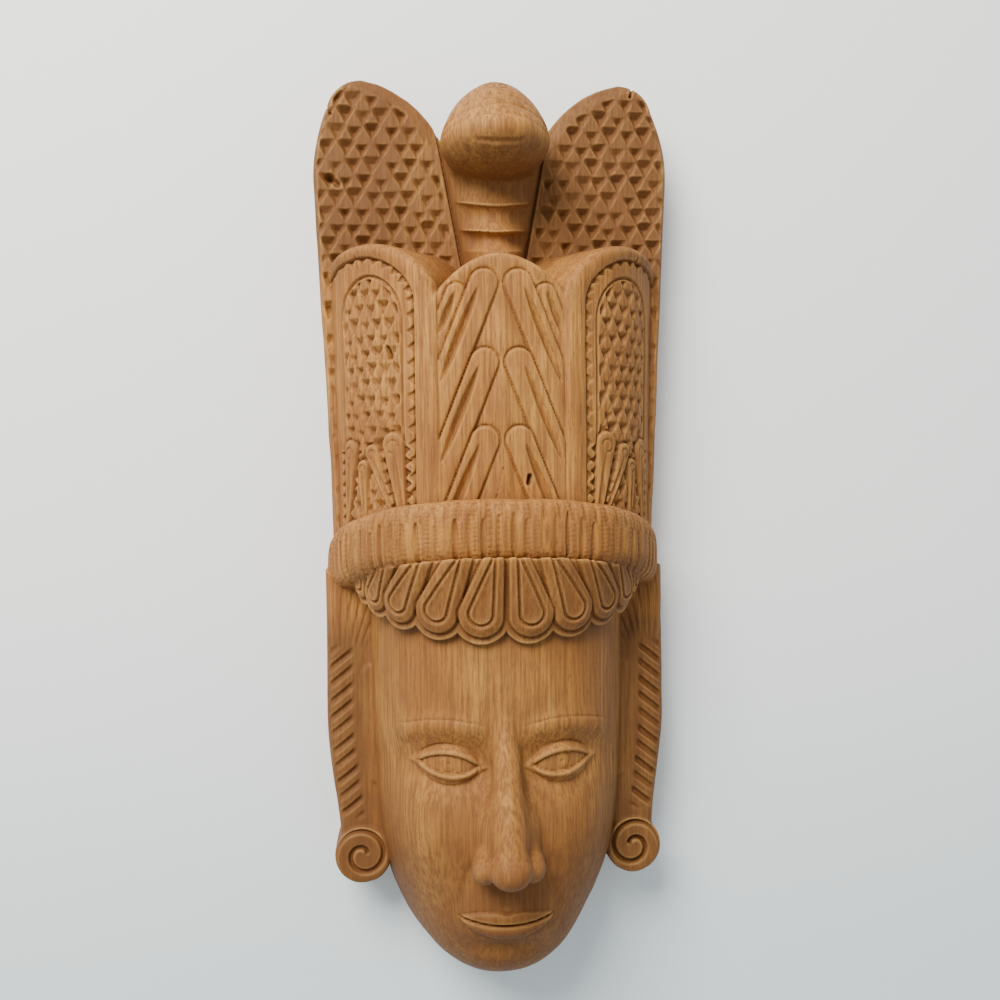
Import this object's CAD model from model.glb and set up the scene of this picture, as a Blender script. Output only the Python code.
import math

import bpy
import numpy as np
import openvdb
from mathutils import Matrix, Vector


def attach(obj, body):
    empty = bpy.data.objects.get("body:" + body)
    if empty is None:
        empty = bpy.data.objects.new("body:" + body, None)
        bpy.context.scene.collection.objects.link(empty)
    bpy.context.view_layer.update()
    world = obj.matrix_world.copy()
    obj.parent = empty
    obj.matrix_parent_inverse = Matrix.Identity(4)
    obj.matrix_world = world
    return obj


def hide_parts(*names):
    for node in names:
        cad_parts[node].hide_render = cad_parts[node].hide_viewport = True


# Looks of the carved wooden mask. The wood is carved here as a field over space: every form is a
# function of place that is negative inside, and patterns are height maps laid on the forms.
# Lengths are millimetres in the mask's own frame until the mesh is made: x to the viewer's right,
# d from the flat back towards the front, z up. s is an arc length round a form from its middle.

VOXEL = 0.55
COARSE = 4
SHELL = 2.6
FAR = 6.0
MARGIN = 3.0
MAP_STEP = 0.25
OVAL_POWER = 0.86

HOOD_TOP = 182.0
HOOD_DEPTH = 25.0
WAIST_LEVEL = -20.0
CROWN_DEPTH = 63.0
CROWN_FOOT_OUT = 70.0
CROWN_TOP_OUT = 75.5
RIB_INNER = 25.5
RIB_WIDTH = 10.0
BAND_TILT = math.radians(15.0)
BAND_LEVEL = -31.0
BAND_HEIGHT = 27.0
BAND_OUT = 73.5
BAND_DEPTH = 77.0
BAND_BULGE = 4.0
FRINGE_OUT = 62.0
FRINGE_DEPTH = 70.0
FACE_OUT = 57.0
FACE_DEPTH = 66.0
HAIRLINE = -40.0
CHIN = -204.0
SCROLL_PLACE = (58.5, -151.0)
SCROLL_RADIUS = 12.0
SCROLL_DEPTH = 28.0


# Tools ----------------------------------------------------


def smoothstep(value, low, high):
    """0 below low and 1 above high, with a smooth ramp between."""
    t = np.clip((value - low) / (high - low), 0.0, 1.0)
    return t * t * (3.0 - 2.0 * t)


def between(value, rise_low, rise_high, fall_low, fall_high):
    """0 outside and 1 inside a span, with a smooth ramp at each end."""
    return smoothstep(value, rise_low, rise_high) * (1.0 - smoothstep(value, fall_low, fall_high))


def soft_min(a, b, reach):
    """The union of two forms, its crease filled over about reach."""
    h = np.clip(0.5 + 0.5 * (b - a) / reach, 0.0, 1.0)
    return b + (a - b) * h - reach * h * (1.0 - h)


def soft_max(a, b, reach):
    """The common part of two forms, its edge rounded over about reach."""
    return -soft_min(-a, -b, reach)


def segment(u, v, start, end, start_radius=0.0, end_radius=0.0):
    """Distance to a straight stroke that may taper, and the share of its length from 0 to 1."""
    along_u, along_v = end[0] - start[0], end[1] - start[1]
    share = ((u - start[0]) * along_u + (v - start[1]) * along_v) / (along_u**2 + along_v**2)
    share = np.clip(share, 0.0, 1.0)
    gap = np.hypot(u - start[0] - share * along_u, v - start[1] - share * along_v)
    return gap - start_radius - share * (end_radius - start_radius), share


def side_of(u, v, start, end):
    """Signed distance to the endless line through two points."""
    along_u, along_v = end[0] - start[0], end[1] - start[1]
    length = math.hypot(along_u, along_v)
    return ((u - start[0]) * along_v - (v - start[1]) * along_u) / length


def groove(distance, width, depth):
    """A cut along a line, as a height."""
    return -depth * (1.0 - smoothstep(np.abs(distance), 0.0, width / 2))


def lens_cut(u, v, start, end, width, depth):
    """A gouge cut that swells and dies away between two points."""
    gap, share = segment(u, v, start, end)
    half = width / 2 * np.sin(np.pi * share) ** 0.6 + 1e-6
    return -depth * np.sin(np.pi * share) ** 0.5 * np.clip(1.0 - (gap / half) ** 1.5, 0.0, 1.0)


def swelling(u, v, across, level, half_across, half_up, height):
    """A smooth swelling, or a hollow where height is negative."""
    return height * np.exp(-(((u - across) / half_across) ** 2) - ((v - level) / half_up) ** 2)


def bell(distance, half_width):
    """A smooth rise across a line, 1 on it."""
    return np.exp(-((distance / half_width) ** 2))


def half_round(share, power=2.0):
    """A rounded profile, 1 in its middle and 0 where share reaches 1."""
    return np.sqrt(np.clip(1.0 - share**power, 0.0, 1.0))


def teeth(along, out, pitch, half_width, length):
    """1 on the pointed teeth of a row and 0 between them; out is how far off its foot a place is."""
    beat = np.abs(along / pitch - np.floor(along / pitch) - 0.5) * pitch
    slack = half_width * (1.0 - out / length) - beat
    return np.clip(slack / 0.4, 0.0, 1.0) * np.clip(out / 0.2, 0.0, 1.0)


def oval(x, d, out, depth):
    """Distance to a half-oval section, a little fuller at its shoulders than an ellipse."""
    power = 2.0 / OVAL_POWER
    u = np.abs(x) / out
    v = np.maximum(d, 0.0) / depth
    reach = np.maximum((u**power + v**power) ** (1.0 / power), 1e-3)
    slope_u = (u / reach) ** (power - 1.0) / out
    slope_v = (v / reach) ** (power - 1.0) / depth
    return (reach - 1.0) / np.maximum(np.hypot(slope_u, slope_v), 1e-4)


def arc_table(out, depth):
    """Arc length round a half-oval from its front, by turn."""
    turn = np.linspace(0.0, np.pi / 2, 400)
    across = out * np.sin(turn) ** OVAL_POWER
    front = depth * np.cos(turn) ** OVAL_POWER
    steps = np.hypot(np.diff(across), np.diff(front))
    return turn, np.concatenate([[0.0], np.cumsum(steps)])


def arc_place(x, d, out, depth):
    """Arc length round a half-oval, signed like x, of the place nearest a point."""
    turn, length = arc_table(out, depth)
    ratio = (np.abs(x) / out) / np.maximum(np.maximum(d, 0.0) / depth, 1e-4)
    here = np.arctan(ratio ** (1.0 / OVAL_POWER))
    return np.sign(x) * np.interp(here, turn, length)


def ball(x, d, z, centre, radii):
    """Distance, near its surface, to an ellipsoid."""
    u = (x - centre[0]) / radii[0]
    v = (d - centre[1]) / radii[1]
    w = (z - centre[2]) / radii[2]
    reach = np.sqrt(u * u + v * v + w * w) + 1e-6
    slope = np.sqrt((u / radii[0]) ** 2 + (v / radii[1]) ** 2 + (w / radii[2]) ** 2) / reach
    return (reach - 1.0) / np.maximum(slope, 1e-4)


def rod(x, d, z, start, end, start_radius, end_radius):
    """Distance to a tapering rod with round ends."""
    along = np.array(end, float) - np.array(start, float)
    share = (x - start[0]) * along[0] + (d - start[1]) * along[1] + (z - start[2]) * along[2]
    share = np.clip(share / along.dot(along), 0.0, 1.0)
    u = x - start[0] - share * along[0]
    v = d - start[1] - share * along[1]
    w = z - start[2] - share * along[2]
    return np.sqrt(u * u + v * v + w * w) - start_radius - share * (end_radius - start_radius)


class Sheet:
    """A rectangle of values over two coordinates, read between its points."""

    def __init__(self, first_low, first_high, second_low, second_high):
        self.low = (first_low, second_low)
        first = np.arange(first_low, first_high, MAP_STEP)
        second = np.arange(second_low, second_high, MAP_STEP)
        self.u, self.v = np.meshgrid(first, second, indexing="ij")
        self.value = np.zeros(self.u.shape)

    def at(self, first, second):
        i = np.clip((first - self.low[0]) / MAP_STEP, 0, self.value.shape[0] - 1.001)
        j = np.clip((second - self.low[1]) / MAP_STEP, 0, self.value.shape[1] - 1.001)
        i0 = i.astype(np.int32)
        j0 = j.astype(np.int32)
        fi = i - i0
        fj = j - j0
        near = self.value[i0, j0] * (1 - fj) + self.value[i0, j0 + 1] * fj
        far = self.value[i0 + 1, j0] * (1 - fj) + self.value[i0 + 1, j0 + 1] * fj
        return near * (1 - fi) + far * fi


def add_marks(sheet, marks):
    """Cuts straight marks, each given by its ends, width and depth, into a height map."""
    for start, end, width, depth in marks:
        gap, _ = segment(sheet.u, sheet.v, start, end)
        sheet.value += groove(gap, width, depth)


class Lumps:
    """Smooth random values between -1 and 1, about one swelling per cell."""

    COUNT = 48
    OFFSET = 200.37

    def __init__(self, cell, seed):
        self.cell = cell
        self.lattice = np.random.default_rng(seed).uniform(-1.0, 1.0, (self.COUNT,) * 3)

    def at(self, x, d, z):
        place = [np.asarray(c) / self.cell + self.OFFSET for c in (x, d, z)]
        whole = [np.floor(p).astype(np.int64) for p in place]
        part = [p - w for p, w in zip(place, whole)]
        ease = [p * p * (3.0 - 2.0 * p) for p in part]
        total = 0.0
        for corner in range(8):
            bits = (corner & 1, corner >> 1 & 1, corner >> 2 & 1)
            weight = 1.0
            for bit, share in zip(bits, ease):
                weight = weight * (share if bit else 1.0 - share)
            index = tuple((w + bit) % self.COUNT for w, bit in zip(whole, bits))
            total = total + weight * self.lattice[index]
        return total


# Hood and snake -------------------------------------------

HOOD_HALF = ((69, -20), (73, 60), (77, 138))
HOOD_ARCS = (((77, 138), (71, 170), 75), ((71, 170), (56, 182), 15), ((56, 182), (22, 156), 48))
PAST_MIDDLE = -6.0
HOOD_CHIPS = {"across": 7.9, "up": 7.0, "width": 8.8, "height": 7.4}
SEAM = ((12.8, 98.0), (23.6, 157.0))
HOOD_MARKS = (
    ((63.0, 183.0), (61.0, 176.0), 1.6, 2.4),
    ((-72.0, 172.0), (-69.0, 166.0), 1.4, 2.0),
    ((-70.0, 139.0), (-66.5, 136.0), 4.2, 2.6),
)


def arc_points(start, end, radius, count=14):
    """Points along the shorter arc that bulges to the right of the way from start to end."""
    start, end = np.array([start, end], float)
    chord = end - start
    length = np.hypot(*chord)
    inward = np.array([-chord[1], chord[0]]) / length
    centre = (start + end) / 2 + inward * math.sqrt(radius**2 - (length / 2) ** 2)
    first = math.atan2(start[1] - centre[1], start[0] - centre[0])
    last = math.atan2(end[1] - centre[1], end[0] - centre[0])
    if last < first:
        last += 2 * math.pi
    turns = np.linspace(first, last, count)
    return [(centre[0] + radius * math.cos(t), centre[1] + radius * math.sin(t)) for t in turns]


def outline_distance(u, v, points):
    """Signed distance to a closed outline, negative inside."""
    least = np.full(u.shape, 1e9)
    inside = np.zeros(u.shape, bool)
    for (ax, ay), (bx, by) in zip(points, points[1:] + points[:1]):
        gap, _ = segment(u, v, (ax, ay), (bx, by))
        least = np.minimum(least, gap)
        if ay != by:
            crosses = (v < max(ay, by)) & (v >= min(ay, by))
            inside ^= crosses & (u < ax + (v - ay) * (bx - ax) / (by - ay))
    return np.where(inside, -least, least)


def hood_outline():
    """How far outside the hood's front outline each place is."""
    sheet = Sheet(0.0, 82.0, -26.0, 190.0)
    points = [(PAST_MIDDLE, -20), *HOOD_HALF]
    for start, end, radius in HOOD_ARCS:
        points += arc_points(start, end, radius)[1:]
    points += [(PAST_MIDDLE, 156)]
    sheet.value = outline_distance(sheet.u, sheet.v, points)
    return sheet


def chips(u, v, across, up, width, height, depth, wander, flank, seed):
    """Rows of triangular chips, points down, deepest under their top edge and cut unevenly."""
    random = np.random.default_rng(seed)
    jitter = random.uniform(-1.0, 1.0, (64, 64, 4))
    cut = np.zeros(u.shape)
    base_row = np.floor(v / up).astype(int)
    for row_step in (-1, 0):
        row = base_row + row_step
        shifted = u / across - 0.5 * (row % 2)
        base_column = np.floor(shifted).astype(int)
        for column_step in (-1, 0, 1):
            column = base_column + column_step
            noise = jitter[row % 64, column % 64]
            foot = row * up + wander * noise[..., 1]
            size = 1.0 + 0.2 * noise[..., 2]
            rise = (v - foot) / (height * size)
            centre = (column + 0.5 + 0.5 * (row % 2)) * across + wander * noise[..., 0]
            centre = centre + wander * noise[..., 3] * (1.0 - rise)
            slack = rise * width * size / 2 - np.abs(u - centre)
            wall = np.clip(slack / flank, 0.0, 1.0) * np.clip((1.0 - rise) / 0.34, 0.0, 1.0)
            floor = depth * (0.72 + 0.28 * rise) * (1.0 + 0.3 * noise[..., 1])
            cut = np.maximum(cut, wall * floor * (rise > 0))
    return -cut


def hood_relief(outline):
    """Chips over the hood inside a smooth bevelled rim, and the seams beside the neck."""
    sheet = Sheet(-82.0, 82.0, -26.0, 190.0)
    u, v = sheet.u, sheet.v
    inset = -outline.at(np.abs(u), v)
    pattern = chips(u, v, **HOOD_CHIPS, depth=2.7, wander=0.8, flank=2.2, seed=3)
    rim = 6.0 - 4.2 * smoothstep(np.abs(u), 52.0, 66.0)
    field = smoothstep(inset, rim - 1.2, rim + 1.0) * (0.45 + 0.55 * smoothstep(v, 40.0, 90.0))
    aside = -side_of(np.abs(u), v, *SEAM)
    field = field * smoothstep(-aside, 2.0, 3.2)
    bevel = -2.6 * np.clip(1.0 - inset / rim, 0.0, 1.0)
    sheet.value = pattern * field + bevel + groove(aside, 1.8, 1.9)
    add_marks(sheet, HOOD_MARKS)
    return sheet


def hood(x, d, z, maps):
    outline = maps["hood_outline"].at(np.abs(x), z)
    relief = maps["hood_relief"].at(x, z)
    front = d - HOOD_DEPTH - relief
    return soft_max(outline, front, 1.4)


NECK_BANDS = (104.0, 112.0, 123.0, 134.5)
NECK_OUT = 15.6
NECK_DEPTH = 42.0
NECK_MIDDLE = 118.0
NECK_HALF = 36.0
SCOOP_DEPTH = 4.6
HEAD_LEVEL = 150.0
HEAD_RISE = 23.6
HEAD_DROP = 15.5
MUZZLE = ((0.0, 47.0, 148.0), (18.5, 20.5, 11.5))
NOSTRIL_OUT = 2.6
NOSTRIL_LEVEL = 168.0
# Each fold of the brow: its level, how much it bows and how deep it is.
FOLDS = ((163.0, 0.022, 0.35), (158.5, 0.012, 0.5), (153.5, 0.008, 0.3))
MOUTH_LINE = 142.5


def snake(x, d, z, _maps):
    """An egg-shaped head with its small end up, over a neck scooped in bands."""
    narrow = 1.0 - 0.008 * np.clip(z - 152.0, 0.0, 30.0)
    half_height = np.where(z > HEAD_LEVEL, HEAD_RISE, HEAD_DROP)
    cap = ball(x / narrow, d, z, (0.0, 39.5, HEAD_LEVEL), (23.0, 24.5, half_height))
    head = soft_min(cap, ball(x, d, z, *MUZZLE), 5.0)
    for level, bow, depth in FOLDS:
        fold = z - level + bow * x * x
        head = head - groove(fold, 2.6, depth) * smoothstep(d, 42.0, 50.0)
    mouth = z - MOUTH_LINE - 0.012 * x * x
    head = head - groove(mouth, 2.6, 0.5) * (1.0 - smoothstep(np.abs(x), 6.0, 12.0)) * (d > 46.0)
    nostril = np.hypot(np.abs(x) - NOSTRIL_OUT, z - NOSTRIL_LEVEL)
    head = head - groove(nostril - 1.6, 1.3, 0.5) * (z > NOSTRIL_LEVEL - 1.5)
    out = NECK_OUT + 0.2 * np.clip(z - NECK_BANDS[0], -10.0, 46.0)
    neck = oval(x, d, out, NECK_DEPTH)
    scoop = np.zeros(np.shape(z))
    bend = 0.018 * x * x
    for low, high in zip(NECK_BANDS, NECK_BANDS[1:]):
        share = np.clip((z - bend - low) / (high - low), 0.0, 1.0)
        arch = np.sin(np.pi * share) ** 0.6 * (0.25 + 0.75 * share)
        scoop = np.maximum(scoop, SCOOP_DEPTH * arch)
    ends = np.abs(z - NECK_MIDDLE) - NECK_HALF
    neck = np.maximum(neck + scoop * smoothstep(d, 26.0, 36.0), ends)
    return soft_min(head, neck, 1.0)


# Crown ----------------------------------------------------

ARCH_MIDDLE = 62.0
ARCH_HALF = 36.5
ARCH_SPRING = 80.0
ARCH_RISE = 26.0
PANEL_MIDDLE = 58.0
PANEL_HALF = 17.0
PANEL_SPRING = 73.0
PANEL_RISE = 19.0
LEAF_PEAKS = (92.5, 61.0, 29.8)
LEAF_RADIUS = 6.0
LEAF_LEAN = math.radians(22.0)
TOOTH_PITCH = 6.5
TOOTH_LENGTH = 3.5
LATTICE_PITCH = 6.6
LATTICE_LEAN = 0.56
PANEL_CHIPS = {"across": LATTICE_PITCH, "up": 6.2, "width": 7.0, "height": 6.3}


def arch_inset(u, v, middle, half, spring, rise):
    """How far inside a round-headed arch each place is."""
    a = (u - middle) / half
    b = np.maximum(v - spring, 0.0) / rise
    reach = np.hypot(a, b) + 1e-6
    slope = np.hypot(a / half, b / rise) / reach
    return (1.0 - reach) / np.maximum(slope, 1e-3)


def lay_over(height, shape, dome, sink=0.7, fade=2.2):
    """Lays a raised shape over a height map: a V-cut round it and ground that sinks beside it."""
    ground = height - sink * np.exp(-np.clip(shape, 0.0, 20.0) / fade)
    height = dome + (ground - dome) * smoothstep(shape, -0.4, 0.4)
    return height + groove(shape, 1.5, 0.95)


def leaning(start, length):
    """The other end of a stroke that runs down and out from start, along the leaves."""
    return start[0] + length * math.sin(LEAF_LEAN), start[1] - length * math.cos(LEAF_LEAN)


def blade(u, v, start, radius, length):
    """Distance to a leaf's outline."""
    return segment(u, v, start, leaning(start, length))[0] - radius


def centre_leaves(u, v):
    """Three tiers of paired blades that lean out from the centre line, lower over upper."""
    a = np.abs(u)
    height = np.zeros(u.shape)
    shape = blade(a, v, (18.3, 82.5), 4.4, 60.0)
    height = lay_over(height, shape, 0.2)
    height += lens_cut(a, v, (18.6, 83.5), (25.6, 66.0), 3.2, 2.0)
    for peak in LEAF_PEAKS:
        start = (7.0, peak - LEAF_RADIUS)
        shape = blade(a, v, start, LEAF_RADIUS, 90.0)
        middle = (a < start[0] + (start[1] - v) * math.tan(LEAF_LEAN)) & (v < start[1])
        height = np.where(middle, 0.5 - 0.09 * a, height)
        height = lay_over(height, shape, 0.35 - 0.2 * smoothstep(shape, -1.6, 0.0))
        first = (9.2, peak - 7.2)
        height += lens_cut(a, v, first, leaning(first, 42.0), 4.0, 2.3) * (shape < 0.5)
    heart = np.maximum(side_of(a, v, (4.2, -6.0), (0.0, 13.0)), -20.0)
    height += groove(np.where(v < 13.0, heart, 9.0), 1.0, 0.6)
    return height


def panel_pattern(u, v, seed):
    """Knife-line lattice and small chips inside a side panel."""
    a = np.abs(u)
    height = chips(a, v, **PANEL_CHIPS, depth=1.8, wander=0.6, flank=1.1, seed=seed)
    for lean in (LATTICE_LEAN, -LATTICE_LEAN):
        line = (a + v * lean) / LATTICE_PITCH
        gap = np.abs(line - np.round(line)) * LATTICE_PITCH * math.cos(math.atan(lean))
        height += groove(gap, 1.2, 0.35)
    return height


def side_panel(u, v, height):
    """One side of the crown: rim, teeth, plain band, arched panel and the leaves at its foot."""
    a = np.abs(u)
    inset = arch_inset(a, v, ARCH_MIDDLE, ARCH_HALF, ARCH_SPRING, ARCH_RISE)
    turn = np.arctan2(np.maximum(v - ARCH_SPRING, 0.0) * ARCH_HALF / ARCH_RISE, ARCH_MIDDLE - a)
    width = RIB_WIDTH - 3.8 * smoothstep(turn, 0.1, 1.5)
    rim_place = (inset - width / 2) / (width / 2)
    rim = 1.7 * half_round(rim_place)
    along = np.where(v < ARCH_SPRING, v, ARCH_SPRING + 27.0 * turn)
    off_rim = inset - width
    tooth = -1.6 * teeth(along, off_rim, TOOTH_PITCH, 2.5, TOOTH_LENGTH)
    tooth *= 1.0 - 0.75 * np.clip(off_rim / TOOTH_LENGTH, 0.0, 1.0)
    tooth *= 1.0 - 0.75 * smoothstep(a, 66.0, 76.0)
    panel = arch_inset(a, v, PANEL_MIDDLE, PANEL_HALF, PANEL_SPRING, PANEL_RISE)
    inner = np.where(u > 0, panel_pattern(u, v, 11), panel_pattern(u, v, 12))
    inner = inner * smoothstep(panel, 0.9, 1.8) - 0.25
    surface = np.where(panel > 0, inner, 0.0) + groove(panel, 1.9, 1.2)
    surface = foot_leaves(a, v, surface)
    surface = np.where(off_rim > 0, surface + tooth, rim - 0.4)
    surface += groove(off_rim, 1.2, 0.9)
    surface += groove(inset, 0.9, 0.9)
    return np.where(a > RIB_INNER, surface, height)


# Each leaf: where it starts and ends, and its radius at either end.
FOOT_LEAVES = (
    ((76.0, -14.0), (71.0, 21.0), 1.0, 5.0),
    ((62.0, -14.0), (62.5, 14.0), 1.0, 3.4),
    ((42.0, -14.0), (57.0, 20.0), 0.8, 3.6),
    ((40.5, -14.0), (46.0, 23.0), 1.2, 5.2),
)
FOOT_TOOTH_PITCH = 4.6
FOOT_TOOTHED = 4.5
FOOT_CREST = 0.97


def foot_leaves(u, v, height):
    """Upright blades that fan out from the foot of each side panel, the broad ones toothed."""
    for start, end, start_radius, end_radius in FOOT_LEAVES:
        shape, _ = segment(u, v, start, end, start_radius, end_radius)
        height = lay_over(height, shape, 0.2 - 0.35 * smoothstep(shape, -2.4, 0.0), sink=0.6)
        tip = tuple(a + (b - a) * FOOT_CREST for a, b in zip(start, end))
        height += lens_cut(u, v, start, tip, end_radius * 0.62, 1.0)
        curl = np.hypot(u - tip[0], v - tip[1])
        hook = (v > tip[1]) | ((u > tip[0]) & (v > tip[1] - 0.6 * end_radius))
        height += groove(curl - 0.5 * end_radius, 1.0, 0.7) * hook
        tooth = teeth(v, shape, FOOT_TOOTH_PITCH, 2.1, 3.2)
        height -= 1.4 * tooth * (v < end[1]) * (end_radius > FOOT_TOOTHED)
    return height


CROWN_MARKS = (
    ((64.5, 105.5), (64.0, 98.5), 1.3, 2.0),
    ((-63.0, 101.0), (-61.5, 86.0), 0.9, 0.9),
    ((10.3, 6.6), (10.8, 9.4), 2.6, 4.0),
    ((-47.0, 58.0), (-47.8, 62.5), 1.8, 3.0),
)


def crown_relief():
    """The crown's whole relief, with two checks in the wood and two insect holes."""
    sheet = Sheet(-118.0, 118.0, -34.0, 112.0)
    leaves = centre_leaves(sheet.u, sheet.v)
    sheet.value = side_panel(sheet.u, sheet.v, leaves)
    add_marks(sheet, CROWN_MARKS)
    return sheet


def crown_top():
    """How far above the crown's scalloped top each place is."""
    sheet = Sheet(0.0, 118.0, 60.0, 118.0)
    u, v = sheet.u, sheet.v
    centre = v - (99.0 - 13.0 * (u / RIB_INNER) ** 2)
    side = -arch_inset(u, v, ARCH_MIDDLE, ARCH_HALF, ARCH_SPRING, ARCH_RISE)
    slope = np.hypot(1.0, 26.0 * u / RIB_INNER**2)
    sheet.value = np.minimum(np.where(u < RIB_INNER + 4.0, centre / slope, 40.0), side)
    sheet.value = np.where(u > ARCH_MIDDLE + 10.0, np.minimum(sheet.value, v - 98.0), sheet.value)
    return sheet


def crown(x, d, z, maps):
    share = (z - WAIST_LEVEL) / (HOOD_TOP - WAIST_LEVEL)
    out = CROWN_FOOT_OUT + (CROWN_TOP_OUT - CROWN_FOOT_OUT) * share
    s = arc_place(x, d, out.mean(), CROWN_DEPTH)
    wall = oval(x, d, out, CROWN_DEPTH) - maps["crown_relief"].at(s, z)
    top = maps["crown_top"].at(np.abs(s), z)
    return soft_max(wall, np.where(z > 62.0, top, -20.0), 3.6)


# Headband and fringe --------------------------------------

GOUGE_PITCH = 5.6
BAND_SQUARE = 3.6
BAND_CORE = 9.0


def band_relief():
    """Upright gouge cuts round the roll, and rows of fine nicks between them."""
    sheet = Sheet(-125.0, 125.0, -18.0, 18.0)
    u, v = sheet.u, sheet.v
    random = np.random.default_rng(5)
    noise = random.uniform(-1.0, 1.0, (64, 3))
    column = np.floor(u / GOUGE_PITCH).astype(int)
    jitter = noise[column % 64]
    middle = (column + 0.5) * GOUGE_PITCH + jitter[..., 0] * 0.6
    centre = -3.5 + jitter[..., 1] * 2.0
    half = 1.6 * half_round((v - centre) / 9.0) + 1e-6
    cut = np.clip(1.0 - (np.abs(u - middle) / half) ** 2, 0.0, 1.0)
    upper = np.clip(1.0 - (np.abs(u - middle - 2.0) / 1.6) ** 2, 0.0, 1.0)
    upper *= between(v, 2.0, 5.0, 9.0, 13.0)
    stroke = noise[np.floor(u / 1.9).astype(int) % 64]
    nicks = np.maximum(np.sin(v * (3.4 + 0.8 * stroke[..., 0]) + 9.0 * stroke[..., 1]), 0.0) ** 3
    nicks = nicks * (0.5 + 0.5 * stroke[..., 2])
    sheet.value = -1.1 * cut * (0.7 + 0.5 * jitter[..., 2]) - 0.6 * upper - 0.34 * nicks
    return sheet


def headband(x, d, z, maps):
    """A roll whose front is lifted, so that it dips to the sides."""
    forward = d / math.cos(BAND_TILT)
    level = z - d * math.tan(BAND_TILT) - BAND_LEVEL
    reach = BAND_CORE + BAND_BULGE
    inner = oval(x, forward, BAND_OUT - BAND_BULGE, BAND_DEPTH - BAND_BULGE)
    beyond = np.maximum(inner + BAND_CORE, 0.0) / reach
    rise = np.abs(level) / (BAND_HEIGHT / 2)
    s = arc_place(x, forward, BAND_OUT, BAND_DEPTH)
    relief = maps["band_relief"].at(s, level)
    roll = ((beyond**BAND_SQUARE + rise**BAND_SQUARE) ** (1 / BAND_SQUARE) - 1.0) * reach
    return roll - relief


FRINGE_LEAVES = (
    ((72.0, -20.0), (78.0, -31.0), 4.0, 5.0),
    ((57.0, -15.0), (69.0, -34.5), 4.2, 5.8),
    ((41.0, -14.0), (57.5, -38.0), 4.0, 6.9),
    ((26.0, -13.0), (44.0, -41.0), 3.6, 8.0),
    ((12.0, -12.0), (27.3, -43.6), 3.2, 8.9),
    ((2.0, -12.0), (9.8, -45.0), 1.6, 9.2),
)
FRINGE_FOOT = -55.0
FRINGE_FLARE = 5.6
LOOP_CREST = 0.28


def fringe_maps():
    """The leaves' relief, and how far outside them each place is."""
    relief = Sheet(-100.0, 100.0, -70.0, 0.0)
    edge = Sheet(-100.0, 100.0, -70.0, 0.0)
    u, v = relief.u, relief.v
    mirrored = np.abs(u)
    reach = np.full(u.shape, 1e3)
    for leaf in FRINGE_LEAVES:
        reach = np.minimum(reach, segment(mirrored, v, *leaf)[0])
    height = -1.5 + 0.25 * smoothstep(reach, 1.2, 2.6) + 0.5 * smoothstep(v, -34.0, -26.0)
    for start, end, start_radius, end_radius in FRINGE_LEAVES:
        shape, _ = segment(mirrored, v, start, end, start_radius, end_radius)
        dome = 0.5 - 0.7 * smoothstep(shape, -3.6, 0.0)
        height = lay_over(height, shape, dome, sink=0.6, fade=1.2)
        loop_top = tuple(a + (b - a) * LOOP_CREST for a, b in zip(start, end))
        loop_end = (end[0], end[1] + 0.6)
        loop, _ = segment(mirrored, v, loop_top, loop_end, 0.2, end_radius * 0.52)
        height += np.where(shape < 0, groove(loop, 1.7, 1.4), 0.0)
        height -= 0.6 * smoothstep(-loop, 0.5, 3.0)
    height += groove(u, 1.0, 0.8)
    relief.value = height
    edge.value = np.where(v > -24.0, -8.0, reach - 2.7)
    return relief, edge


def fringe(x, d, z, maps):
    s = arc_place(x, d, FRINGE_OUT, FRINGE_DEPTH)
    flare = FRINGE_FLARE * np.clip((z - FRINGE_FOOT) / 30.0, 0.0, 1.2)
    wall = oval(x, d, FRINGE_OUT + flare, FRINGE_DEPTH + flare)
    wall = wall - maps["fringe_relief"].at(s, z)
    level = z - d * math.tan(BAND_TILT) - BAND_LEVEL
    wall = np.maximum(wall, level + BAND_HEIGHT / 2 - 2.0)
    return soft_max(wall, maps["fringe_edge"].at(s, z), 0.8)


# Face -----------------------------------------------------

THIRD = (HAIRLINE - CHIN) / 3
BROW = HAIRLINE - THIRD
NOSE_FOOT = HAIRLINE - 2 * THIRD
EYE_LEVEL = BROW - THIRD * 0.2
EYE_OUT = FACE_OUT * 0.4
EYE_HALF = FACE_OUT * 0.2
MOUTH = NOSE_FOOT - THIRD * 0.34
MOUTH_HALF = 19.5
# Each swelling: how far out and at what level it is, its half widths across and up, its height.
FACE_SWELLINGS = (
    (EYE_OUT, EYE_LEVEL, 18.116, 10.488, -4.6),
    (9.0, EYE_LEVEL + 1.0, 7.0, 11.0, -1.2),
    (29.0, NOSE_FOOT + 14.0, 15.0, 16.0, 2.2),
    (34.0, MOUTH - 2.0, 13.0, 14.0, -1.6),
    (0.0, MOUTH, 19.17, 12.78, 3.4),
    (0.0, MOUTH - 12.5, 14.0, 4.0, -2.0),
    (0.0, CHIN + 12.0, 15.0, 9.0, 2.6),
)


def almond(u, v, half, upper, lower):
    """Distance to an almond between two arcs, negative inside; upper and lower are its heights."""
    parts = []
    for height, sign in ((upper, 1.0), (lower, -1.0)):
        radius = (half**2 + height**2) / (2 * height)
        parts.append(np.hypot(u, v + sign * (radius - height)) - radius)
    return np.maximum(*parts)


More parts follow.
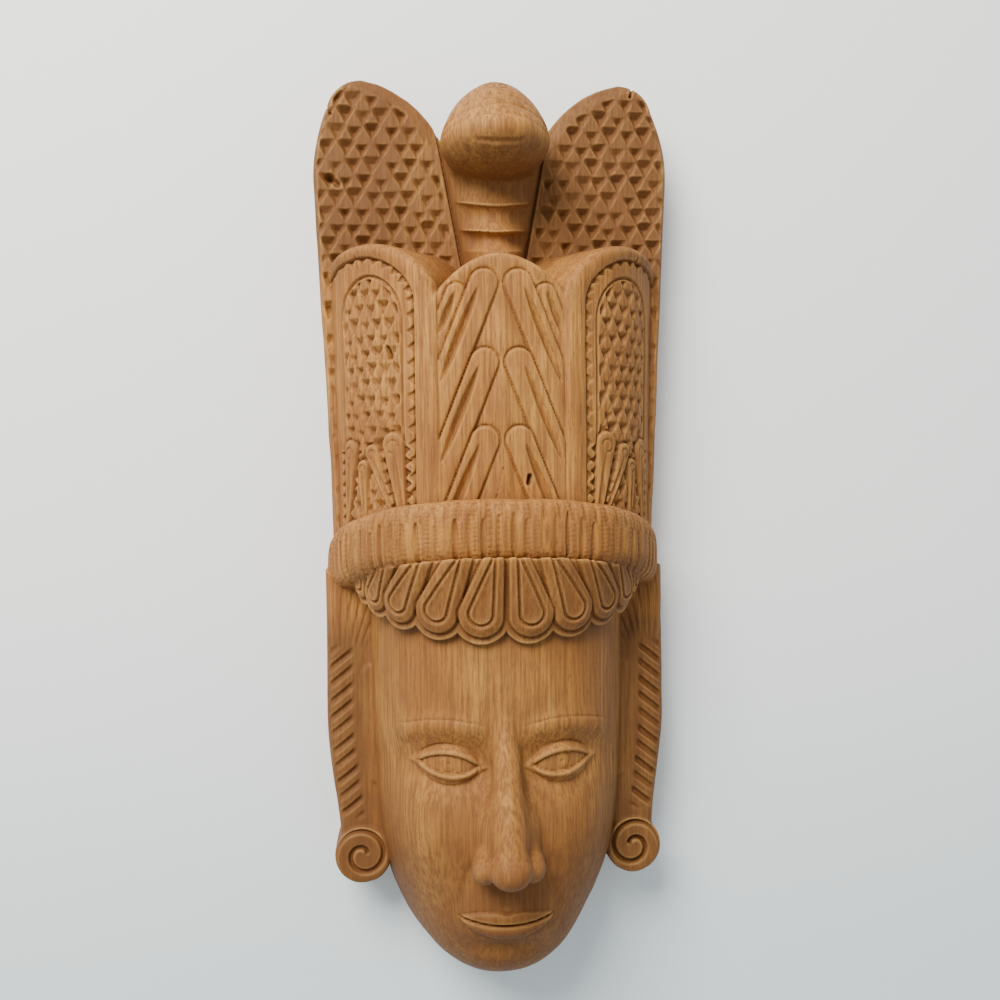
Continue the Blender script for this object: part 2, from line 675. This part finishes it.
def face_relief():
    """Eyes, brows, lips and the planes between them, as heights on the oval of the head."""
    sheet = Sheet(-62.0, 62.0, CHIN + 3.0, -20.0)
    u, v = sheet.u, sheet.v
    a = np.abs(u)
    height = sum(swelling(a, v, *each) for each in FACE_SWELLINGS)
    brow_line = BROW + 4.5 - 0.010 * (a - 24.0) ** 2
    brow_reach = between(a, 5.0, 14.0, 38.0, 46.0)
    height += 1.6 * bell(v - brow_line, 4.6) * brow_reach
    height += groove(v - brow_line - 3.0, 1.3, 0.45) * brow_reach
    ball_reach = ((a - EYE_OUT) / (EYE_HALF * 1.05)) ** 2 + ((v - EYE_LEVEL) / 8.2) ** 2
    height += 4.4 * np.clip(1.0 - ball_reach, 0.0, 1.0) ** 0.75
    tilt = v - EYE_LEVEL - 0.06 * (a - EYE_OUT)
    eye = almond(a - EYE_OUT, tilt, EYE_HALF, 4.1, 3.4)
    lids = 1.25 * np.clip(1.0 - np.abs(eye - 1.3) / 1.6, 0.0, 1.0) ** 0.6
    height += np.where(eye > 0, lids, -0.55)
    height += groove(eye, 0.9, 0.5)
    fold = almond(a - EYE_OUT, tilt, EYE_HALF * 1.18, 8.2, 6.0)
    height += groove(fold, 1.1, 0.55) * smoothstep(v, EYE_LEVEL + 0.5, EYE_LEVEL + 3.0)
    iris = np.hypot(a - EYE_OUT, v - EYE_LEVEL - 0.6)
    ring = groove(iris - 3.3, 0.9, 0.4) + groove(iris, 2.0, 0.6)
    height += np.where(eye < -0.3, ring, 0.0)
    fold_line = 13.5 + 0.34 * (NOSE_FOOT + 6.0 - v)
    fold_reach = between(v, MOUTH - 3.0, MOUTH + 8.0, NOSE_FOOT + 2.0, NOSE_FOOT + 9.0)
    height -= 0.9 * bell(a - fold_line, 2.6) * fold_reach
    height += lips(u, v)
    groove_reach = between(v, MOUTH + 5.0, MOUTH + 7.0, NOSE_FOOT - 3.5, NOSE_FOOT - 1.0)
    height -= 0.9 * bell(a, 2.1) * groove_reach
    sheet.value = height
    return sheet


def lips(u, v):
    """Full closed lips: a bowed upper one and a rounder lower one, with a rim cut round each."""
    a = np.abs(u)
    line = MOUTH + 0.006 * a**2 - 1.0
    span = np.clip(1.0 - (a / MOUTH_HALF) ** 2, 0.0, 1.0)
    upper_edge = line + 5.6 * span**0.8 - 1.1 * bell(a, 2.6)
    lower_edge = line - 7.2 * span**0.7
    upper = np.clip((v - line) / np.maximum(upper_edge - line, 0.3), 0.0, 1.0)
    lower = np.clip((line - v) / np.maximum(line - lower_edge, 0.3), 0.0, 1.0)
    inside = (a < MOUTH_HALF) & (v < upper_edge) & (v > lower_edge)
    round_up = np.where(v > line, half_round(upper, 2.2), 0.0)
    round_low = np.where(v <= line, half_round(2 * lower - 1.0), 0.0)
    height = np.where(inside, (2.0 * round_up + 2.5 * round_low) * span**0.5, 0.0)
    parting = groove(v - line, 1.5, 1.5) * smoothstep(MOUTH_HALF + 1.0 - a, 0.0, 2.5)
    rim = (groove(v - upper_edge, 1.0, 0.35) + groove(v - lower_edge, 1.0, 0.35)) * (span > 0.02)
    return height + parting + rim


def nose(x, d, z):
    """A straight nose: bridge, tip, two wings and nostrils underneath."""
    a = np.abs(x)
    length = BROW - NOSE_FOOT
    bridge = rod(x, d, z, (0.0, 60.5, BROW + 4.0), (0.0, 77.5, NOSE_FOOT + 8.0), 5.4, 6.8)
    tip = ball(x, d, z, (0.0, 78.5, NOSE_FOOT + 6.0), (7.8, 7.8, 6.4))
    wing = ball(a, d, z, (9.2, 70.0, NOSE_FOOT + 5.2), (5.4, 8.2, 5.8))
    root = ball(x, d, z, (0.0, 61.5, NOSE_FOOT + length * 0.3), (13.5, 11.5, 18.0))
    whole = soft_min(soft_min(bridge, tip, 4.0), wing, 2.4)
    whole = soft_min(whole, root, 6.0)
    hole = ball(a, d, z, (5.0, 74.5, NOSE_FOOT - 0.6), (2.7, 4.6, 2.4))
    return np.maximum(whole, -hole)


def face(x, d, z, maps):
    """The head's oval, narrowing to the chin, with the features on it."""
    share = np.clip((BAND_LEVEL - z) / (BAND_LEVEL - CHIN), 0.0, 1.0)
    out = FACE_OUT * np.maximum(1.0 - share**4.2, 0.0) ** 0.5 + 0.01
    depth = (FACE_DEPTH - 5.0 * share**2) * np.maximum(1.0 - share**10, 0.0) ** 0.4 + 0.01
    skull = oval(x, d, out, depth)
    front = smoothstep(d, 12.0, 30.0)
    head = skull - maps["face_relief"].at(x, z) * front
    head = soft_max(head, CHIN + 1.0 - z, 5.0)
    return soft_min(head, nose(x, d, z), 2.6)


# Locks ----------------------------------------------------

LOCK_PITCH = 7.3
LOCK_OUTER = 73.5
LOCK_TAPER = 5.5
LOCK_INNER = 46.0
LOCK_DEPTH = 26.0
LEFT_CUT_SHARE = 0.72
HAIR_ROOT = (63.0, -88.0)
HAIR_STEP = 0.085


def lock_relief():
    """Hair lines, slanting gouge cuts and a smooth tab down each lock, and its scroll's curl."""
    sheet = Sheet(40.0, 80.0, -170.0, -10.0)
    u, v = sheet.u, sheet.v
    inset = lock_edge(v) - u
    row = (v + 0.8 * (u - 60.0)) / LOCK_PITCH
    column = np.floor(row).astype(int)
    jitter = np.random.default_rng(9).uniform(-1.0, 1.0, (64, 2))[column % 64]
    beat = (row - column - 0.5) * LOCK_PITCH + 0.5 * jitter[..., 0]
    reach = between(inset, 0.6, 3.0, 10.0, 12.5)
    cuts = -1.8 * np.clip(1.0 - (np.abs(beat) / 1.9) ** 2, 0.0, 1.0) * reach
    cuts *= 1.0 + 0.2 * jitter[..., 1]
    height = cuts * between(v, -137.0, -132.0, -66.0, -60.0)
    from_root = np.hypot(u - HAIR_ROOT[0], v - HAIR_ROOT[1])
    bend = np.arctan2(u - HAIR_ROOT[0], v - HAIR_ROOT[1]) + 0.004 * from_root
    fan = bend / HAIR_STEP
    strands = np.abs(fan - np.round(fan)) * HAIR_STEP * from_root
    height += groove(strands, 1.6, 0.7) * smoothstep(v, -66.0, -54.0)
    tab, _ = segment(u, v, (53.5, -74.0), (52.5, -118.0), 5.0, 3.0)
    height += 1.1 * (1.0 - smoothstep(tab, -1.8, 0.8))
    gap = np.hypot(u - SCROLL_PLACE[0], v - SCROLL_PLACE[1])
    turn = np.arctan2(v - SCROLL_PLACE[1], SCROLL_PLACE[0] - u) - 0.4
    share = np.mod(turn, 2 * np.pi) / (2 * np.pi)
    curl = np.minimum(np.abs(gap - 2.0 - 7.0 * share), np.abs(gap - 9.0 - 7.0 * share))
    inside = smoothstep(SCROLL_RADIUS - gap, 0.0, 1.5)
    height += groove(curl, 3.0, 2.8) * inside
    sheet.value = height
    return sheet


def lock_edge(z):
    """How far out a lock's outer edge is."""
    return LOCK_OUTER - LOCK_TAPER * smoothstep(-z, 91.0, 151.0)


def locks(x, d, z, maps):
    a = np.abs(x)
    side = np.maximum(a - lock_edge(z), LOCK_INNER - a)
    flat = np.maximum(side, np.maximum(z - BAND_LEVEL - 2.0, SCROLL_PLACE[1] - z))
    relief = maps["lock_relief"].at(a, z) * np.where(x < 0, LEFT_CUT_SHARE, 1.0)
    strip = soft_max(flat, d - LOCK_DEPTH - relief, 7.0)
    round_side = np.hypot(a - SCROLL_PLACE[0], z - SCROLL_PLACE[1]) - SCROLL_RADIUS
    scroll = soft_max(round_side, d - SCROLL_DEPTH - relief, 2.4)
    return soft_min(strip, scroll, 1.0)


# Back -----------------------------------------------------

HOLLOW = ((0.0, 0.0, -95.0), (37.0, 43.0, 64.0))
RECESS_OUT = 12.8
RECESS_TOP = 95.0
RECESS_FOOT = 74.2
RECESS_DEPTH = 6.0
POCKET_LEVEL = 98.53
POCKET_RADIUS = 8.5
POCKET_DEPTH = 13.0
SCOOP_WIDTH = 11.0
SCOOP_LENGTH = 26.0


def back(x, d, z):
    """The flat back and what is cut into it: the hollow, the hanger's recess, the hook's pocket."""
    hollow = ball(x, d, z, *HOLLOW)
    across = np.pi * (x / SCOOP_WIDTH + 0.25 * np.sin(z / 13.0))
    scoops = 0.7 * np.abs(np.sin(across)) + 0.4 * np.abs(np.sin(np.pi * z / SCOOP_LENGTH + across))
    hollow = hollow + (0.9 - scoops) * smoothstep(d, 1.0, 9.0)
    slot, _ = segment(x, z, (0.0, RECESS_FOOT), (0.0, RECESS_TOP))
    recess = np.maximum(slot - RECESS_OUT, d - RECESS_DEPTH)
    pocket = np.hypot(x, z - POCKET_LEVEL) - POCKET_RADIUS
    pocket = np.maximum(pocket, d - POCKET_DEPTH)
    return np.minimum(np.minimum(hollow, recess), pocket)


# The whole field ------------------------------------------

WAVES = Lumps(9.0, 21)
TOOL_MARKS = Lumps(3.2, 22)
CHUNK = 400000
HALF_DIAGONAL = 0.87
PROBE = 0.12
# Each form, after the lowest and the highest level that it reaches.
FORMS = (
    (-24.0, 190.0, hood),
    (84.0, 182.0, snake),
    (-24.0, 112.0, crown),
    (-55.0, 12.0, headband),
    (-62.0, -4.0, fringe),
    (CHIN + 1.0, -20.0, face),
    (-168.0, -26.0, locks),
)


def carving_maps():
    outline = hood_outline()
    relief, edge = fringe_maps()
    return {
        "hood_outline": outline,
        "hood_relief": hood_relief(outline),
        "crown_relief": crown_relief(),
        "crown_top": crown_top(),
        "band_relief": band_relief(),
        "fringe_relief": relief,
        "fringe_edge": edge,
        "face_relief": face_relief(),
        "lock_relief": lock_relief(),
    }


def wood_field(x, d, z, maps):
    """Negative in the wood. Only the forms that reach a place's level are worked out there."""
    field = np.full(x.shape, FAR)
    for low, high, form in FORMS:
        near = (z > low) & (z < high)
        if near.any():
            value = form(x[near], d[near], z[near], maps)
            field[near] = soft_min(field[near], value, 0.5)
    waver = 0.22 * WAVES.at(x, d, z * 0.5) + 0.1 * TOOL_MARKS.at(x, d, z * 0.4)
    field = field + waver * smoothstep(d, 3.0, 8.0)
    field = np.maximum(field, -back(x, d, z))
    return np.maximum(field, -d)


def spread(values, factor, shape):
    """Repeats a coarse block of cells onto the fine grid."""
    for axis in range(3):
        values = np.repeat(values, factor, axis=axis)
    return values[: shape[0], : shape[1], : shape[2]]


def sample_field(maps):
    """The field on a grid: worked out everywhere coarsely, and finely only near the surface."""
    low = np.array([-79.0 - MARGIN, -MARGIN, CHIN - 2.0 - MARGIN])
    high = np.array([79.0 + MARGIN, 91.0 + MARGIN, HOOD_TOP + 2.0 + MARGIN])
    cells = (np.ceil((high - low) / VOXEL / COARSE).astype(int)) * COARSE
    blocks = cells // COARSE
    axes = [low[i] + (np.arange(blocks[i]) + 0.5) * VOXEL * COARSE for i in range(3)]
    bx, bd, bz = np.meshgrid(*axes, indexing="ij")
    rough = wood_field(bx.ravel(), bd.ravel(), bz.ravel(), maps).reshape(bx.shape)
    reach = VOXEL * COARSE * HALF_DIAGONAL + SHELL
    dense = spread(np.clip(rough, -FAR, FAR).astype(np.float32), COARSE, cells)
    near = spread(np.abs(rough) < reach, COARSE, cells)
    index = np.argwhere(near)
    for start in range(0, len(index), CHUNK):
        part = index[start : start + CHUNK]
        place = low + (part + 0.5) * VOXEL
        value = wood_field(place[:, 0], place[:, 1], place[:, 2], maps)
        dense[part[:, 0], part[:, 1], part[:, 2]] = np.clip(value, -FAR, FAR)
    return dense, low + 0.5 * VOXEL


def darkening(x, d, z):
    """How much a place is darkened by age and handling, 0 to 1."""
    behind = smoothstep(z, 86.0, 112.0) * (1.0 - smoothstep(d, 30.0, 46.0))
    below = 0.28 * smoothstep(-z, 45.0, 60.0) + 0.55 * smoothstep(-z, 105.0, 175.0)
    shaded = 0.6 * between(-z, 20.0, 28.0, 52.0, 60.0) * smoothstep(d, 30.0, 60.0)
    side = 0.25 * smoothstep(x, 10.0, 70.0) + 0.22 * smoothstep(np.abs(x), 30.0, 50.0)
    under = 0.8 * between(-z, -153.0, -142.0, -128.0, -112.0) * smoothstep(d, 34.0, 44.0)
    hair = 0.5 * smoothstep(-z, 44.0, 60.0) * smoothstep(np.abs(x), 52.0, 60.0)
    top = 0.45 * smoothstep(z, 148.0, 163.0) * smoothstep(d, 26.0, 34.0)
    total = (0.82 * behind + hair) * smoothstep(d, 8.0, 22.0)
    total = total + below + shaded + side + under + top
    return np.clip(total, 0.0, 1.0) * smoothstep(d, 0.5, 5.0)


def blurred(values, reach):
    """A box blur of a grid along its three axes."""
    width = 2 * reach + 1
    for axis in range(3):
        pad = [(0, 0)] * 3
        pad[axis] = (reach + 1, reach)
        total = np.cumsum(np.pad(values, pad, mode="edge"), axis=axis, dtype=np.float32)
        size = values.shape[axis]
        upper = np.take(total, range(width, width + size), axis=axis)
        lower = np.take(total, range(0, size), axis=axis)
        values = (upper - lower) / width
    return values


def read_grid(grid, place):
    """Values of a grid at places given in cells."""
    place = np.clip(place, 0, np.array(grid.shape) - 1.001)
    whole = place.astype(int)
    part = place - whole
    total = np.zeros(len(place))
    for corner in range(8):
        bits = np.array([corner & 1, corner >> 1 & 1, corner >> 2 & 1])
        weight = np.prod(np.where(bits, part, 1 - part), axis=1)
        i, j, k = (whole + bits).T
        total += weight * grid[i, j, k]
    return total


def settle(points, maps):
    """Moves each vertex onto the true surface, which sharpens the cuts."""
    for _ in range(2):
        value = wood_field(*points.T, maps)
        probes = [wood_field(*(points + step).T, maps) - value for step in PROBE * np.eye(3)]
        slope = np.stack(probes, axis=1) / PROBE
        size = np.maximum((slope**2).sum(axis=1), 0.25)
        move = -slope * (value / size)[:, None]
        length = np.linalg.norm(move, axis=1, keepdims=True)
        points = points + move * np.minimum(1.0, 0.35 * VOXEL / np.maximum(length, 1e-6))
    return points


def quad_mesh(name, vertices, quads):
    mesh = bpy.data.meshes.new(name)
    mesh.vertices.add(len(vertices))
    mesh.vertices.foreach_set("co", vertices.astype(np.float32).ravel())
    mesh.loops.add(quads.size)
    mesh.loops.foreach_set("vertex_index", quads.astype(np.int32).ravel())
    mesh.polygons.add(len(quads))
    mesh.polygons.foreach_set("loop_start", np.arange(0, quads.size, 4, dtype=np.int32))
    mesh.update(calc_edges=True)
    mesh.validate()
    mesh.polygons.foreach_set("use_smooth", np.ones(len(mesh.polygons), bool))
    return mesh


def carve():
    """Makes the wood, keeping for each vertex how deep in a cut it lies and its darkening."""
    maps = carving_maps()
    dense, low = sample_field(maps)
    grid = openvdb.FloatGrid(FAR)
    grid.copyFromArray(dense)
    points, _, quads = grid.convertToPolygons(isovalue=0.0, adaptivity=0.0)
    cells = np.asarray(points, float)
    solid = np.clip(0.5 - dense / VOXEL, 0.0, 1.0)
    fine = read_grid(blurred(solid, max(1, round(1.3 / VOXEL))), cells)
    broad = read_grid(blurred(solid, round(4.5 / VOXEL)), cells)
    points = settle(low + cells * VOXEL, maps)
    points[:, 1] = np.maximum(points[:, 1], 0.0)
    vertices = np.stack([points[:, 0], -points[:, 1], points[:, 2]], axis=1) / 1000.0
    mesh = quad_mesh("carved_wood", vertices, np.asarray(quads))
    tone = darkening(*points.T)
    for name, values in (("cut_fine", fine), ("cut_broad", broad), ("tone", tone)):
        layer = mesh.attributes.new(name, "FLOAT", "POINT")
        layer.data.foreach_set("value", values.astype(np.float32))
    wood = bpy.data.objects.new("mask_wood", mesh)
    bpy.context.collection.objects.link(wood)
    return wood


# Materials ------------------------------------------------


def srgb(red, green, blue):
    """A colour given as it looks on a screen, 0 to 255, made linear."""
    return [((c / 255 + 0.055) / 1.055) ** 2.4 for c in (red, green, blue)] + [1.0]


class Graph:
    """A short way to write a material's nodes; each method returns an outlet of a new one."""

    def __init__(self, name):
        self.material = bpy.data.materials.new(name)
        self.material.use_nodes = True
        self.nodes = self.material.node_tree.nodes
        self.links = self.material.node_tree.links
        self.shader = self.nodes["Principled BSDF"]

    def put(self, socket, value):
        if isinstance(value, bpy.types.NodeSocket):
            self.links.new(value, socket)
        else:
            socket.default_value = value

    def add(self, kind, outlet=0, settings=None, **inputs):
        node = self.nodes.new(kind)
        for key, value in (settings or {}).items():
            setattr(node, key, value)
        for key, value in inputs.items():
            self.put(node.inputs[key.replace("_", " ")], value)
        return node.outputs[outlet]

    def math(self, operation, a, b):
        node = self.nodes.new("ShaderNodeMath")
        node.operation = operation
        self.put(node.inputs[0], a)
        self.put(node.inputs[1], b)
        return node.outputs[0]

    def remap(self, value, low, high, to_low=0.0, to_high=1.0):
        node = self.nodes.new("ShaderNodeMapRange")
        for key, number in zip(range(5), (value, low, high, to_low, to_high)):
            self.put(node.inputs[key], number)
        return node.outputs[0]

    def blend(self, share, first, second):
        node = self.nodes.new("ShaderNodeMix")
        node.data_type = "RGBA"
        self.put(node.inputs[0], share)
        self.put(node.inputs[6], first)
        self.put(node.inputs[7], second)
        return node.outputs[2]

    def noise(self, vector, scale, detail, roughness=0.55):
        settings = {"Vector": vector, "Scale": scale, "Detail": detail, "Roughness": roughness}
        return self.add("ShaderNodeTexNoise", **settings)

    def attribute(self, name):
        return self.add("ShaderNodeAttribute", outlet=2, settings={"attribute_name": name})

    def stretched(self, source, factors):
        return self.add("ShaderNodeMapping", Vector=source, Scale=factors)


def wood_material():
    """Dry, unpainted wood: upright fibres and pores, warm in patches, brown in the cuts."""
    g = Graph("carved_wood")
    place = g.add("ShaderNodeTexCoord", outlet=3)
    bent = g.noise(g.stretched(place, (1.0, 1.0, 0.35)), 26.0, 2.0)
    sway = g.add("ShaderNodeVectorMath", settings={"operation": "SCALE"}, Vector=bent, Scale=0.0035)
    upright = g.add("ShaderNodeVectorMath", settings={"operation": "ADD"})
    for socket, vector in zip(upright.node.inputs, (place, sway)):
        g.put(socket, vector)
    fibres = g.noise(g.stretched(upright, (1.0, 1.0, 0.035)), 900.0, 5.0, 0.6)
    strands = g.noise(g.stretched(upright, (1.0, 1.0, 0.05)), 240.0, 3.0, 0.5)
    pores = g.noise(g.stretched(upright, (1.0, 1.0, 0.14)), 1700.0, 1.0, 0.4)
    patches = g.noise(g.stretched(place, (1.0, 1.0, 0.6)), 22.0, 3.0, 0.5)
    light = srgb(197, 141, 66)
    middle = srgb(164, 107, 44)
    colour = g.blend(g.remap(patches, 0.36, 0.66), middle, light)
    warm = g.noise(g.stretched(place, (1.0, 1.0, 0.8)), 14.0, 2.0, 0.5)
    stains = g.noise(place, 85.0, 5.0, 0.65)
    fine, broad, tone = (g.attribute(name) for name in ("cut_fine", "cut_broad", "tone"))
    # Each coat: what it follows, the span it answers to, its strength at both ends, its colour.
    coats = (
        (warm, 0.5, 0.72, 0.0, 0.5, srgb(158, 98, 38)),
        (stains, 0.47, 0.68, 0.0, 0.4, srgb(128, 90, 50)),
        (strands, 0.38, 0.62, 0.5, 0.0, srgb(134, 82, 42)),
        (fibres, 0.4, 0.58, 0.72, 0.0, srgb(124, 74, 34)),
        (pores, 0.62, 0.7, 0.0, 0.45, srgb(104, 62, 34)),
        (tone, 0.0, 1.0, 0.0, 0.75, srgb(92, 57, 28)),
        (fine, 0.54, 0.76, 0.0, 0.6, srgb(88, 48, 20)),
        (broad, 0.52, 0.8, 0.0, 0.45, srgb(108, 64, 30)),
        (fine, 0.46, 0.3, 0.0, 0.34, srgb(206, 158, 88)),
    )
    for source, *span, tint in coats:
        colour = g.blend(g.remap(source, *span), colour, tint)
    g.put(g.shader.inputs["Base Color"], colour)
    g.put(g.shader.inputs["Roughness"], g.remap(fibres, 0.3, 0.7, 0.74, 0.6))
    g.put(g.shader.inputs["Specular IOR Level"], 0.22)
    relief = g.math("ADD", g.math("MULTIPLY", fibres, 0.6), g.math("MULTIPLY", pores, -0.5))
    bump = g.add("ShaderNodeBump", Height=relief, Strength=0.5, Distance=0.0004)
    g.put(g.shader.inputs["Normal"], bump)
    return g.material


def metal_material(name, colour, roughness, grain):
    """Plated steel with faint handling marks."""
    g = Graph(name)
    place = g.add("ShaderNodeTexCoord", outlet=3)
    marks = g.noise(place, grain, 4.0, 0.6)
    stain = g.noise(place, grain / 9.0, 3.0, 0.5)
    tint = g.blend(g.remap(stain, 0.4, 0.7, 0.0, 0.45), colour, srgb(122, 108, 82))
    g.put(g.shader.inputs["Base Color"], tint)
    g.put(g.shader.inputs["Metallic"], 1.0)
    g.put(g.shader.inputs["Roughness"], g.remap(marks, 0.3, 0.7, roughness, roughness + 0.18))
    bump = g.add("ShaderNodeBump", Height=marks, Strength=0.15, Distance=0.0001)
    g.put(g.shader.inputs["Normal"], bump)
    return g.material


TOUCHING = 0.004  # metres: light that has come no further passes through the board


def wall_material():
    """Pale painted board, seen only from its front; light reaches the mask's back through it."""
    g = Graph("pale_board")
    place = g.add("ShaderNodeTexCoord", outlet=3)
    height = g.add("ShaderNodeSeparateXYZ", outlet=2, Vector=place)
    paint = g.blend(g.remap(height, -0.21, -0.03), srgb(230, 239, 237), srgb(253, 252, 247))
    clouds = g.noise(place, 3.0, 3.0, 0.5)
    paint = g.blend(g.math("MULTIPLY", clouds, 0.1), paint, srgb(236, 236, 232))
    g.put(g.shader.inputs["Base Color"], paint)
    g.put(g.shader.inputs["Roughness"], 0.6)
    g.put(g.shader.inputs["Specular IOR Level"], 0.25)
    behind = g.add("ShaderNodeNewGeometry", outlet=6)
    travelled = g.nodes.new("ShaderNodeLightPath").outputs["Ray Length"]
    near = g.math("LESS_THAN", travelled, TOUCHING)
    clear = g.add("ShaderNodeBsdfTransparent")
    mixed = g.nodes.new("ShaderNodeMixShader")
    g.links.new(g.math("MAXIMUM", behind, near), mixed.inputs[0])
    g.links.new(g.shader.outputs[0], mixed.inputs[1])
    g.links.new(clear, mixed.inputs[2])
    g.links.new(mixed.outputs[0], g.nodes["Material Output"].inputs["Surface"])
    return g.material


# Scene ----------------------------------------------------

BOARD_HALF = 1.2
BOARD_PLANE = 0.0008
OPENING = (-0.040, 0.040, -0.160, 0.115)


def board(name, material):
    """The wall behind the mask, open where the mask hides it, so that the hollow isn't shut in."""
    half = BOARD_HALF
    left, right, low, high = OPENING
    outer = [(-half, -half), (half, -half), (half, half), (-half, half)]
    inner = [(left, low), (right, low), (right, high), (left, high)]
    mesh = bpy.data.meshes.new(name)
    faces = [(i, (i + 1) % 4, (i + 1) % 4 + 4, i + 4) for i in range(4)]
    mesh.from_pydata([(x, BOARD_PLANE, z) for x, z in outer + inner], [], faces)
    mesh.materials.append(material)
    thing = bpy.data.objects.new(name, mesh)
    bpy.context.collection.objects.link(thing)


def area_light(name, place, target, size, power, colour):
    lamp = bpy.data.lights.new(name, "AREA")
    lamp.shape = "DISK"
    lamp.size = size
    lamp.energy = power
    lamp.color = colour
    thing = bpy.data.objects.new(name, lamp)
    thing.location = place
    thing.rotation_euler = (Vector(target) - Vector(place)).to_track_quat("-Z", "Y").to_euler()
    bpy.context.collection.objects.link(thing)


def make_camera():
    yaw = math.radians(5.0)
    roll = math.radians(-0.6)
    target = Vector((0.0015, -0.030, 0.0))
    distance = 0.460
    lens = bpy.data.cameras.new("camera")
    lens.sensor_width = 36.0
    lens.lens = 38.6
    camera = bpy.data.objects.new("camera", lens)
    camera.location = target + distance * Vector((-math.sin(yaw), -math.cos(yaw), 0.0))
    aim = (target - camera.location).to_track_quat("-Z", "Y").to_matrix().to_4x4()
    camera.matrix_world = Matrix.Translation(camera.location) @ aim @ Matrix.Rotation(roll, 4, "Z")
    bpy.context.collection.objects.link(camera)
    bpy.context.scene.camera = camera


def make_world():
    world = bpy.data.worlds.new("room")
    world.use_nodes = True
    background = world.node_tree.nodes["Background"]
    background.inputs["Color"].default_value = (0.86, 0.93, 1.0, 1.0)
    background.inputs["Strength"].default_value = 0.76
    bpy.context.scene.world = world


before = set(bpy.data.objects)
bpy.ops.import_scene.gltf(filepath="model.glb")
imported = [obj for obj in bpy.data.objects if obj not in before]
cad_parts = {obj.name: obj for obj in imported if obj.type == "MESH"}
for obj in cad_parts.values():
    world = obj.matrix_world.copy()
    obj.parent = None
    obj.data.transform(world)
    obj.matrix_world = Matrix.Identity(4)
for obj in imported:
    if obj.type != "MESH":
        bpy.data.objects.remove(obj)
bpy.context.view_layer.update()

wood = carve()
wood.data.materials.append(wood_material())
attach(wood, "mask")
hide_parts("mask_block")

METALS = (
    ("hanger_strap", "plated_strap", srgb(196, 190, 176), 0.3, 900.0),
    ("hanger_ring", "plated_wire", srgb(204, 200, 190), 0.22, 1200.0),
    ("hanger_screws", "plated_screws", srgb(188, 184, 174), 0.28, 1100.0),
)
for node, slot_name, colour, roughness, grain in METALS:
    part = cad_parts[node]
    part.data.materials.clear()
    part.data.materials.append(metal_material(slot_name, colour, roughness, grain))

board("board", wall_material())
area_light("window", (-0.52, -0.92, 0.86), (0.0, 0.0, 0.02), 0.8, 35.0, (1.0, 0.985, 0.96))
area_light("back_fill", (-0.5, 0.9, 0.7), (0.0, 0.0, 0.0), 1.0, 12.0, (1.0, 1.0, 1.0))
make_world()
make_camera()
